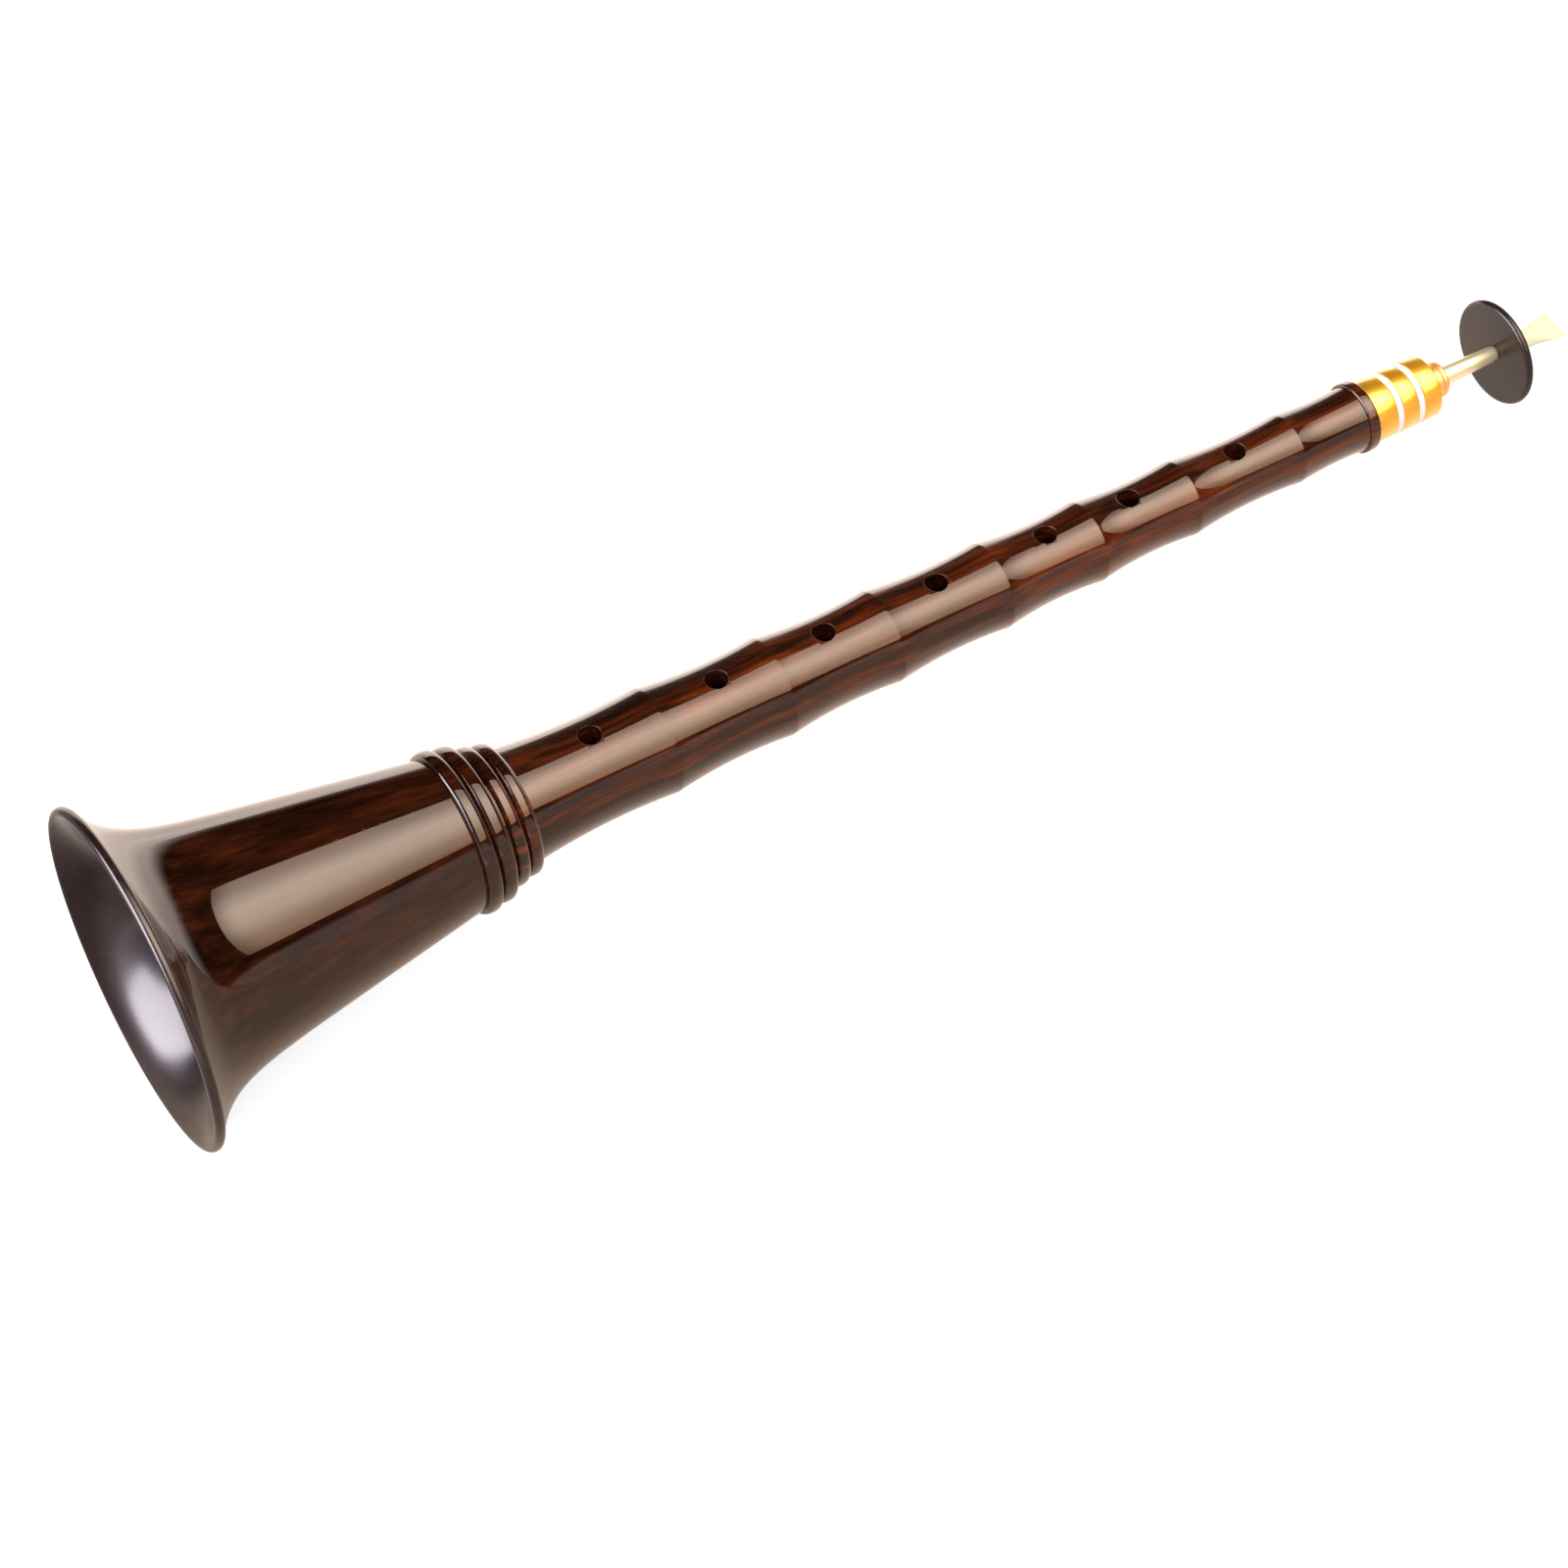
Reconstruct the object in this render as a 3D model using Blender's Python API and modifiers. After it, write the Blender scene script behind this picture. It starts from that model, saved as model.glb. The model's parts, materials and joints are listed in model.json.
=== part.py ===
# Suona with a movable core: a wooden bell, a scalloped wooden pipe, and a metal collar
# whose middle ring turns to move the staple, with its lip disc and reed, in and out.
#
# Metres, +Z up. The instrument lies on its bell rim and on the edge of its lip disc, so
# the bore axis leans down a little towards the reed. +X runs from bell to reed, and the
# finger holes face up. The origin is on the ground, under the middle of the outline.
# Each turned piece is drawn as (station, radius) pairs. Stations run along the bore axis,
# from the bell's mouth towards the reed.

from math import atan2, cos, exp, pi, radians, sin

import bmesh
import bpy
from mathutils import Matrix, Vector

# Clearance between pieces that touch or slide on the real instrument
GAP = 0.0003

# Bell
BELL_LENGTH = 0.1042
BELL_RIM_R = 0.050
BELL_LIP_W = 0.003
BELL_LIP_PROUD = 0.0016
BELL_LIP_ROUND = 0.0009
BELL_MOUTH_FACE_W = 0.0012
BELL_CONE_R = 0.0379
BELL_CONE_TAPER = 0.1641
BELL_FLARE_REACH = 0.0076
BELL_BORE_TAPER = 0.290
BELL_RING_RADII = (0.0240, 0.0230)
BELL_RING_W = 0.0043
BELL_STEPS = 36

# Turned rings at the joint of bell and pipe
RING_GROOVE_W = 0.0008
RING_GROOVE_DEPTH = 0.0012
RING_ROUND = 0.0007

# Joint between bell and pipe
TENON_LENGTH = 0.024
TENON_R = 0.0129
CORK_R = 0.0134
CORK_SEAT_R = 0.0117
CORK_LENGTH = 0.014
CORK_SETBACK = 0.005

# Pipe, with stations measured from its shoulder at the bell
PIPE_LENGTH = 0.2981
PIPE_FOOT_R = 0.0168
PIPE_TOP_R = 0.0102
PIPE_BORE_FOOT_R = 0.0095
PIPE_BORE_TOP_R = 0.0036
PIPE_RING_RADII = (0.02065, 0.01965)
PIPE_RING_W = 0.0038
PIPE_RING_COVE = 0.0009
PIPE_RECESS_R = 0.0190
PIPE_RECESS_W = 0.0010
PIPE_LIP_R = 0.0111
PIPE_LIP_W = 0.0034
PIPE_LIP_ROUND = 0.0006
SCALLOP_DEPTH = 0.0012
TOP_SCALLOP_DEPTH = 0.0006
TOP_CREASE_AFTER_HOLE = 0.0194
FINGER_HOLES_AT = (0.0349, 0.0750, 0.1099, 0.1474, 0.1845, 0.2135, 0.2513)
THUMB_HOLE_AT = 0.2365
FINGER_HOLE_R = 0.0033
THUMB_HOLE_R = 0.0030
PIPE_STEPS = 28
SCALLOP_STEPS = 5

# Collar, with stations measured from the pipe's end face
COLLAR_R = 0.0098
SLEEVE_R = 0.0072
SLEEVE_BORE_R = 0.0060
SLEEVE_DEPTH = 0.022
SLEEVE_BAND_W = 0.0071
SLEEVE_FLANGE_W = 0.003
WASHER_W = 0.0016
TUNING_BAND_W = 0.0056
SPOOL_WALL = 0.0009
CAP_W = 0.0063
CAP_PLATE_W = 0.0016
COLLAR_EDGE = 0.0003
COLLAR_STEPS = 24

# Movable core
TRAVEL_IN = 0.004
TRAVEL_OUT = 0.005
CORE_BODY_R = 0.0056
CORE_STEM_R = 0.0051
CORE_HEAD_R = 0.0055
CORE_HEAD_W = 0.0019
CORE_FOOT_DEPTH = 0.012
CORE_WALL_AT_FOOT = 0.0030
EAR_LENGTH = 0.004
EAR_WIDTH = 0.003
EAR_ROOT = 0.0006
SEAL_SECTION_R = 0.0005
SEAL_GAP = 0.0002
SEAL_SETBACK = 0.002

# Staple, lip disc and reed
STAPLE_LENGTH = 0.055
STAPLE_FOOT_R = 0.0031
STAPLE_TIP_R = 0.0020
STAPLE_WALL = 0.0006
STAPLE_INSET = 0.024
DISC_R = 0.0169
DISC_W = 0.0026
DISC_ROUND = 0.0009
DISC_SETBACK = 0.0106
DISC_STEPS = 24
REED_LENGTH = 0.0206
REED_AFTER_DISC = 0.001
REED_WALL = 0.00045
REED_TIP_WALL = 0.0003
REED_TIP_HALF_WIDTH = 0.0056
REED_TIP_HALF_THICKNESS = 0.00055
REED_ROUND_SHARE = 0.42
REED_SECTIONS = 8
REED_POINTS = 20
WIRE_R = 0.0003
WIRE_PITCH = 0.0008
WIRE_TURNS = 3
WIRE_SETBACK = 0.0045
WIRE_STEPS = 18

# Stations along the bore axis
PIPE_AT = BELL_LENGTH + GAP
PIPE_END = PIPE_AT + PIPE_LENGTH
SLEEVE_AT = PIPE_END + GAP
SLEEVE_BAND_END = SLEEVE_AT + SLEEVE_BAND_W
TUNING_BAND_AT = SLEEVE_BAND_END + WASHER_W + 2 * GAP
TUNING_BAND_END = TUNING_BAND_AT + TUNING_BAND_W
CAP_AT = TUNING_BAND_END + WASHER_W + 2 * GAP
CAP_END = CAP_AT + CAP_W
CAP_FLOOR = CAP_END - CAP_PLATE_W
CORE_AT = SLEEVE_AT - CORE_FOOT_DEPTH
HEAD_AT = CAP_END + TRAVEL_IN + GAP
HEAD_END = HEAD_AT + CORE_HEAD_W
STAPLE_AT = HEAD_END - STAPLE_INSET
STAPLE_TIP = STAPLE_AT + STAPLE_LENGTH
DISC_AT = STAPLE_TIP - DISC_SETBACK
DISC_END = DISC_AT + DISC_W
REED_AT = DISC_END + REED_AFTER_DISC
EAR_AT = (TUNING_BAND_AT + TUNING_BAND_END - EAR_LENGTH) / 2
SPOOL_BORE_R = SLEEVE_R + GAP
SPOOL_R = SPOOL_BORE_R + SPOOL_WALL
RECESS_R = SPOOL_R + GAP


def bell_outer(x):
    at_lip = BELL_CONE_R - BELL_CONE_TAPER * BELL_LIP_W
    flare = BELL_RIM_R - BELL_LIP_PROUD - at_lip
    return BELL_CONE_R - BELL_CONE_TAPER * x + flare * exp((BELL_LIP_W - x) / BELL_FLARE_REACH)


def bell_bore(x):
    floor = BELL_LENGTH - TENON_LENGTH
    mouth = BELL_RIM_R - BELL_LIP_ROUND - BELL_MOUTH_FACE_W
    flare = mouth - PIPE_BORE_FOOT_R - BELL_BORE_TAPER * floor
    return PIPE_BORE_FOOT_R + BELL_BORE_TAPER * (floor - x) + flare * exp(-x / BELL_FLARE_REACH)


def staple_radius(x):
    """Radius of the staple at a station past the core's head, where it tapers."""
    share = (x - HEAD_END) / (STAPLE_TIP - HEAD_END)
    return STAPLE_FOOT_R + (STAPLE_TIP_R - STAPLE_FOOT_R) * share


def creases():
    """Stations of the creases between scallops: halfway between finger holes, and one past the last."""
    between = [(a + b) / 2 for a, b in zip(FINGER_HOLES_AT, FINGER_HOLES_AT[1:])]
    return between + [FINGER_HOLES_AT[-1] + TOP_CREASE_AFTER_HOLE]


def ring_points(start, end, radius, rounding):
    """A raised ring with rounded edges."""
    quarter = [radians(a) for a in (0, 35, 90)]
    rise = [(start + rounding * (1 - cos(a)), radius - rounding * (1 - sin(a))) for a in quarter]
    fall = [(end - rounding * (1 - cos(a)), radius - rounding * (1 - sin(a))) for a in reversed(quarter)]
    return rise + fall


def ring_group(start, radii, width):
    """Several rings with a narrow groove between each two."""
    points = []
    for radius in radii:
        end = start + width
        points += ring_points(start, end, radius, RING_ROUND)
        start = end + RING_GROOVE_W
        if radius != radii[-1]:
            points += [(end, radius - RING_GROOVE_DEPTH - RING_ROUND)]
            points += [(start, radius - RING_GROOVE_DEPTH - RING_ROUND)]
    return points


def scalloped(start, end, foot):
    """The pipe's outside between its rings and its lip: concave scallops that meet in creases."""
    points = []
    knots = [start] + [foot + c for c in creases()] + [end]
    for a, b in zip(knots, knots[1:]):
        depth = TOP_SCALLOP_DEPTH if b == end else SCALLOP_DEPTH
        for step in range(SCALLOP_STEPS):
            u = step / SCALLOP_STEPS
            x = a + (b - a) * u
            taper = PIPE_FOOT_R + (PIPE_TOP_R - PIPE_FOOT_R) * (x - start) / (end - start)
            points.append((x, taper - depth * 4 * u * (1 - u)))
    points.append((end, PIPE_TOP_R))
    return points


def collection(name, cutters=False):
    made = bpy.data.collections.new(name)
    made.hide_render = cutters
    bpy.context.scene.collection.children.link(made)
    return made


def material(name, colour, roughness, metallic=0.0):
    made = bpy.data.materials.new(name)
    made.use_nodes = True
    shader = made.node_tree.nodes["Principled BSDF"]
    shader.inputs["Base Color"].default_value = (*colour, 1.0)
    shader.inputs["Roughness"].default_value = roughness
    shader.inputs["Metallic"].default_value = metallic
    return made


def place(name, data, parent, home, finish=None, at=0.0):
    """An object on the bore axis, with its origin at a station."""
    made = bpy.data.objects.new(name, data)
    home.objects.link(made)
    made.parent = parent
    made.location = (0, 0, at)
    if finish:
        data.materials.append(finish)
    return made


def turned(name, outline, steps, parent, home, finish, at, flat_down=False):
    """A closed outline of (station, radius) pairs, outside first and then back along the bore."""
    mesh = bpy.data.meshes.new(name)
    points = [(radius, 0, station - at) for station, radius in reversed(outline)]
    edges = [(i, (i + 1) % len(points)) for i in range(len(points))]
    mesh.from_pydata(points, edges, [])
    made = place(name, mesh, parent, home, finish, at)
    screw = made.modifiers.new("turn", "SCREW")
    screw.steps = steps
    screw.render_steps = steps
    screw.use_merge_vertices = True
    screw.merge_threshold = 0.00001
    screw.use_smooth_shade = True
    if flat_down:
        made.rotation_euler.z = pi / steps
    return made


def cutter(name, mesh, parent, home, at=0.0):
    made = place(name, mesh, parent, home, at=at)
    made.hide_render = True
    made.display_type = "WIRE"
    return made


def cut(target, tool, operation="DIFFERENCE"):
    boolean = target.modifiers.new(tool.name, "BOOLEAN")
    boolean.operation = operation
    boolean.object = tool
    boolean.solver = "EXACT"


def box_mesh(name, boxes):
    """One mesh of boxes, each given as a centre and a size."""
    shape = bmesh.new()
    for centre, size in boxes:
        scale = Matrix.Diagonal((*size, 1.0))
        bmesh.ops.create_cube(shape, size=1.0, matrix=Matrix.Translation(centre) @ scale)
    mesh = bpy.data.meshes.new(name)
    shape.to_mesh(mesh)
    shape.free()
    return mesh


def hole_mesh(name, holes, reach):
    """One mesh of round cutters, each from the bore axis out along local X."""
    shape = bmesh.new()
    for station, radius, side in holes:
        turn = Matrix.Rotation(pi / 2, 4, "Y")
        centre = Matrix.Translation((side * reach / 2, 0, station))
        bmesh.ops.create_cone(
            shape, cap_ends=True, segments=16, radius1=radius, radius2=radius, depth=reach,
            matrix=centre @ turn,
        )
    mesh = bpy.data.meshes.new(name)
    shape.to_mesh(mesh)
    shape.free()
    return mesh


def make_bell(parent, home, wood):
    floor = BELL_LENGTH - TENON_LENGTH
    rings = len(BELL_RING_RADII)
    rings_at = BELL_LENGTH - rings * BELL_RING_W - (rings - 1) * RING_GROOVE_W
    outer_steps = 12
    outline = ring_points(0, BELL_LIP_W, BELL_RIM_R, BELL_LIP_ROUND)
    for step in range(outer_steps + 1):
        x = BELL_LIP_W + (rings_at - BELL_LIP_W) * (step / outer_steps) ** 2
        outline.append((x, bell_outer(x)))
    outline += ring_group(rings_at, BELL_RING_RADII, BELL_RING_W)
    socket_r = CORK_R + GAP
    outline += [(BELL_LENGTH, socket_r), (floor, socket_r)]
    bore_steps = 10
    for step in range(bore_steps, -1, -1):
        x = floor * (step / bore_steps) ** 2
        outline.append((x, bell_bore(x)))
    return turned("bell", outline, BELL_STEPS, parent, home, wood, BELL_LENGTH, flat_down=True)


def make_pipe(parent, home, cutters, wood):
    rings = len(PIPE_RING_RADII)
    rings_at = PIPE_AT + PIPE_RECESS_W
    foot = rings_at + rings * PIPE_RING_W + (rings - 1) * RING_GROOVE_W
    lip = PIPE_END - PIPE_LIP_W
    tenon_end = PIPE_AT - TENON_LENGTH
    cork_low = tenon_end + CORK_SETBACK
    cork_high = cork_low + CORK_LENGTH
    bore_top = PIPE_END - SLEEVE_DEPTH
    outline = [
        (tenon_end, TENON_R),
        (cork_low, TENON_R),
        (cork_low, CORK_SEAT_R),
        (cork_high, CORK_SEAT_R),
        (cork_high, TENON_R),
        (PIPE_AT, TENON_R),
        (PIPE_AT, PIPE_RECESS_R),
        (rings_at, PIPE_RECESS_R),
    ]
    outline += ring_group(rings_at, PIPE_RING_RADII, PIPE_RING_W)
    outline += [(foot, PIPE_FOOT_R + PIPE_RING_COVE)]
    outline += scalloped(foot + PIPE_RING_COVE, lip, PIPE_AT)
    outline += ring_points(lip, PIPE_END, PIPE_LIP_R, PIPE_LIP_ROUND)
    seat_r = SLEEVE_R + GAP
    outline += [
        (PIPE_END, seat_r),
        (bore_top, seat_r),
        (bore_top, PIPE_BORE_TOP_R),
        (tenon_end, PIPE_BORE_FOOT_R),
    ]
    pipe = turned("pipe", outline, PIPE_STEPS, parent, home, wood, PIPE_AT)
    reach = max(PIPE_RING_RADII)
    holes = [(station, FINGER_HOLE_R, -1) for station in FINGER_HOLES_AT]
    holes.append((THUMB_HOLE_AT, THUMB_HOLE_R, 1))
    tool = cutter("finger_hole_cutters", hole_mesh("holes", holes, reach), parent, cutters, PIPE_AT)
    cut(pipe, tool)
    return pipe


def make_tenon_cork(parent, home, cork):
    low = PIPE_AT - TENON_LENGTH + CORK_SETBACK + GAP
    high = low + CORK_LENGTH - 2 * GAP
    inner = CORK_SEAT_R + GAP
    outline = [(low, CORK_R), (high, CORK_R), (high, inner), (low, inner)]
    return turned("tenon_cork", outline, PIPE_STEPS, parent, home, cork, low)


def banded(start, end, radius):
    """A band of the collar, with small chamfers at both ends."""
    edge = COLLAR_EDGE
    return [(start, radius - edge), (start + edge, radius), (end - edge, radius), (end, radius - edge)]


def make_socket_sleeve(parent, home, cutters, gold):
    recess_floor = SLEEVE_AT + SLEEVE_FLANGE_W
    bottom = SLEEVE_AT - SLEEVE_DEPTH
    top = CAP_FLOOR - GAP
    outline = [(bottom, SLEEVE_R), (SLEEVE_AT, SLEEVE_R)]
    outline += banded(SLEEVE_AT, SLEEVE_BAND_END, COLLAR_R)
    outline += [
        (SLEEVE_BAND_END, RECESS_R),
        (recess_floor, RECESS_R),
        (recess_floor, SLEEVE_R),
        (top, SLEEVE_R),
        (top, SLEEVE_BORE_R),
        (bottom, SLEEVE_BORE_R),
    ]
    sleeve = turned("socket_sleeve", outline, COLLAR_STEPS, parent, home, gold, SLEEVE_AT)
    low = EAR_AT - TRAVEL_IN - GAP
    high = EAR_AT + EAR_LENGTH + TRAVEL_OUT + GAP
    size = (EAR_WIDTH + 2 * GAP, 2 * (SLEEVE_R + GAP), high - low)
    windows = box_mesh("windows", [(Vector((0, 0, (low + high) / 2)), size)])
    cut(sleeve, cutter("sleeve_window_cutter", windows, parent, cutters))
    return sleeve


def make_washer(name, start, parent, home, nylon):
    outline = banded(start, start + WASHER_W, COLLAR_R) + [
        (start + WASHER_W, RECESS_R),
        (start, RECESS_R),
    ]
    return turned(name, outline, COLLAR_STEPS, parent, home, nylon, start)


def make_tuning_ring(parent, home, gold):
    low = SLEEVE_AT + SLEEVE_FLANGE_W + GAP
    high = CAP_FLOOR - GAP
    outline = [(low, SPOOL_R), (TUNING_BAND_AT, SPOOL_R)]
    outline += banded(TUNING_BAND_AT, TUNING_BAND_END, COLLAR_R)
    outline += [
        (TUNING_BAND_END, SPOOL_R),
        (high, SPOOL_R),
        (high, SPOOL_BORE_R),
        (low, SPOOL_BORE_R),
    ]
    return turned("tuning_ring", outline, COLLAR_STEPS, parent, home, gold, TUNING_BAND_AT)


def make_end_cap(parent, home, gold):
    hole = CORE_STEM_R + GAP
    outline = banded(CAP_AT, CAP_END, COLLAR_R) + [
        (CAP_END, hole),
        (CAP_FLOOR, hole),
        (CAP_FLOOR, RECESS_R),
        (CAP_AT, RECESS_R),
    ]
    return turned("end_cap", outline, COLLAR_STEPS, parent, home, gold, CAP_AT)


def make_core_ferrule(parent, home, cutters, gold):
    groove_low = CORE_AT + SEAL_SETBACK
    groove_high = groove_low + 2 * (SEAL_SECTION_R + GAP)
    groove_r = SLEEVE_BORE_R - SEAL_GAP - 2 * SEAL_SECTION_R - GAP
    shoulder = CAP_FLOOR - TRAVEL_OUT - GAP
    bore = STAPLE_FOOT_R + GAP
    seat = STAPLE_AT - GAP
    outline = [
        (CORE_AT, CORE_BODY_R),
        (groove_low, CORE_BODY_R),
        (groove_low, groove_r),
        (groove_high, groove_r),
        (groove_high, CORE_BODY_R),
        (shoulder, CORE_BODY_R),
        (shoulder, CORE_STEM_R),
        (HEAD_AT, CORE_STEM_R),
    ]
    outline += ring_points(HEAD_AT, HEAD_END, CORE_HEAD_R, COLLAR_EDGE)
    foot_bore = CORE_BODY_R - CORE_WALL_AT_FOOT
    outline += [(HEAD_END, bore), (seat, bore), (seat, foot_bore), (CORE_AT, foot_bore)]
    core = turned("core_ferrule", outline, COLLAR_STEPS, parent, home, gold, CORE_AT)
    inner = CORE_BODY_R - EAR_ROOT
    outer = SLEEVE_R
    middle = EAR_AT + EAR_LENGTH / 2 - CORE_AT
    size = (EAR_WIDTH, outer - inner, EAR_LENGTH)
    sides = [(Vector((0, side * (outer + inner) / 2, middle)), size) for side in (-1, 1)]
    ears = cutter("core_ears", box_mesh("ears", sides), parent, cutters, CORE_AT)
    cut(core, ears, "UNION")
    return core


def make_core_o_ring(parent, home, rubber):
    centre = CORE_AT + SEAL_SETBACK + SEAL_SECTION_R + GAP
    radius = SLEEVE_BORE_R - SEAL_GAP - SEAL_SECTION_R
    count = 10
    turn = [2 * pi * i / count for i in range(count)]
    outline = [(centre - SEAL_SECTION_R * cos(a), radius + SEAL_SECTION_R * sin(a)) for a in turn]
    return turned("core_o_ring", outline, COLLAR_STEPS, parent, home, rubber, centre)


def make_staple_tube(parent, home, brass):
    outline = [
        (STAPLE_AT, STAPLE_FOOT_R),
        (HEAD_END, STAPLE_FOOT_R),
        (STAPLE_TIP, STAPLE_TIP_R),
        (STAPLE_TIP, STAPLE_TIP_R - STAPLE_WALL),
        (HEAD_END, STAPLE_FOOT_R - STAPLE_WALL),
        (STAPLE_AT, STAPLE_FOOT_R - STAPLE_WALL),
    ]
    return turned("staple_tube", outline, COLLAR_STEPS, parent, home, brass, STAPLE_AT)


def make_disc(parent, home, horn):
    hole = staple_radius(DISC_AT) + GAP
    outline = ring_points(DISC_AT, DISC_END, DISC_R, DISC_ROUND)
    outline += [(DISC_END, hole), (DISC_AT, hole)]
    return turned("disc", outline, DISC_STEPS, parent, home, horn, DISC_AT, flat_down=True)


def reed_section(u):
    """Half width, half thickness and wall of the reed at a share of its length."""
    foot = staple_radius(REED_AT) + GAP + REED_WALL
    v = max(0.0, (u - REED_ROUND_SHARE) / (1 - REED_ROUND_SHARE))
    ease = v * v * (3 - 2 * v)
    width = foot + (REED_TIP_HALF_WIDTH - foot) * ease
    thickness = foot + (REED_TIP_HALF_THICKNESS - foot) * ease
    return width, thickness, REED_WALL + (REED_TIP_WALL - REED_WALL) * v


def make_reed(parent, home, cane):
    """A round cane tube flattened to a fan with a thin slit: a loft of rings, outside and in."""
    shape = bmesh.new()
    turn = [2 * pi * i / REED_POINTS for i in range(REED_POINTS)]
    shares = [i / REED_SECTIONS for i in range(REED_SECTIONS + 1)]
    rings = []
    for inside in (False, True):
        for u in reversed(shares) if inside else shares:
            width, thickness, wall = reed_section(u)
            if inside:
                width, thickness = width - wall, thickness - wall
            z = u * REED_LENGTH
            rings.append([shape.verts.new((thickness * cos(a), width * sin(a), z)) for a in turn])
    for low, high in zip(rings, rings[1:] + rings[:1]):
        for i in range(REED_POINTS):
            j = (i + 1) % REED_POINTS
            shape.faces.new((low[i], low[j], high[j], high[i]))
    bmesh.ops.recalc_face_normals(shape, faces=shape.faces)
    mesh = bpy.data.meshes.new("reed")
    shape.to_mesh(mesh)
    shape.free()
    mesh.shade_smooth()
    return place("reed", mesh, parent, home, cane, REED_AT)


def make_reed_wire(parent, home, copper):
    """Binding wire wound round the reed's waist."""
    radius = reed_section(0)[0] + GAP + WIRE_R
    curve = bpy.data.curves.new("reed_wire", "CURVE")
    curve.dimensions = "3D"
    curve.bevel_depth = WIRE_R
    curve.bevel_resolution = 1
    curve.use_fill_caps = True
    spline = curve.splines.new("POLY")
    count = WIRE_TURNS * WIRE_STEPS
    spline.points.add(count)
    for i in range(count + 1):
        a = 2 * pi * i / WIRE_STEPS
        spline.points[i].co = (radius * cos(a), radius * sin(a), WIRE_PITCH * i / WIRE_STEPS, 1)
    return place("reed_wire", curve, parent, home, copper, REED_AT + WIRE_SETBACK)


def empty(name, parent, home, at=0.0):
    made = place(name, None, parent, home, at=at)
    made.empty_display_size = 0.02
    return made


def lay_down(axis):
    """Leans the bore axis so that the bell's rim and the disc's edge both rest on the ground."""
    rim_x = BELL_LIP_W - BELL_LIP_ROUND
    rim_r = BELL_RIM_R * cos(pi / BELL_STEPS)
    disc_x = DISC_END - DISC_ROUND
    disc_r = DISC_R * cos(pi / DISC_STEPS)
    lean = atan2(rim_r - disc_r, disc_x - rim_x)
    height = rim_x * sin(lean) + rim_r * cos(lean)
    mouth_low_x = -(BELL_RIM_R - BELL_LIP_ROUND) * sin(lean)
    reed_tip_x = (REED_AT + REED_LENGTH) * cos(lean) + REED_TIP_HALF_THICKNESS * sin(lean)
    axis.location = (-(mouth_low_x + reed_tip_x) / 2, 0, height)
    axis.rotation_euler = (0, pi / 2 + lean, 0)


def main():
    for old in list(bpy.data.objects):
        bpy.data.objects.remove(old)
    home = collection("suona")
    cutters = collection("cutters", cutters=True)

    rosewood = material("rosewood", (0.035, 0.012, 0.007), 0.18)
    cork = material("cork", (0.42, 0.25, 0.12), 0.9)
    sleeve_gold = material("gold_sleeve", (0.85, 0.50, 0.06), 0.25, 1.0)
    ring_gold = material("gold_ring", (0.88, 0.52, 0.06), 0.25, 1.0)
    cap_gold = material("gold_cap", (0.84, 0.49, 0.06), 0.25, 1.0)
    core_gold = material("gold_core", (0.80, 0.46, 0.12), 0.3, 1.0)
    nylon = material("white_nylon", (0.85, 0.85, 0.84), 0.4)
    rubber = material("black_rubber", (0.02, 0.02, 0.02), 0.7)
    brass = material("pale_brass", (0.80, 0.66, 0.36), 0.25, 1.0)
    horn = material("dark_horn", (0.05, 0.04, 0.038), 0.4)
    cane = material("reed_cane", (0.80, 0.68, 0.38), 0.6)
    copper = material("copper_wire", (0.75, 0.36, 0.18), 0.3, 1.0)
    bell_wood = material("bell_rosewood", (0.038, 0.014, 0.008), 0.18)
    upper_nylon = material("white_nylon_upper", (0.85, 0.85, 0.84), 0.4)

    axis = empty("bore_axis", None, home)
    lay_down(axis)
    make_bell(axis, home, bell_wood)
    make_pipe(axis, home, cutters, rosewood)
    make_tenon_cork(axis, home, cork)
    make_socket_sleeve(axis, home, cutters, sleeve_gold)
    make_washer("lower_washer", SLEEVE_BAND_END + GAP, axis, home, nylon)
    make_tuning_ring(axis, home, ring_gold)
    make_washer("upper_washer", TUNING_BAND_END + GAP, axis, home, upper_nylon)
    make_end_cap(axis, home, cap_gold)

    core_axis = empty("core_axis", axis, home)
    make_core_ferrule(core_axis, home, cutters, core_gold)
    make_core_o_ring(core_axis, home, rubber)
    make_staple_tube(core_axis, home, brass)
    make_disc(core_axis, home, horn)

    reed_axis = empty("reed_axis", core_axis, home)
    make_reed(reed_axis, home, cane)
    make_reed_wire(reed_axis, home, copper)


main()
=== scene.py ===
# A suona in lacquered rosewood with a gold collar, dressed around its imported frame.
# Everything turned is drawn as (station, radius) pairs in metres. Stations run along the
# bore axis from the bell's mouth, as the frame's own pieces do.
import json
import math

import bpy
from mathutils import Matrix, Vector


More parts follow.
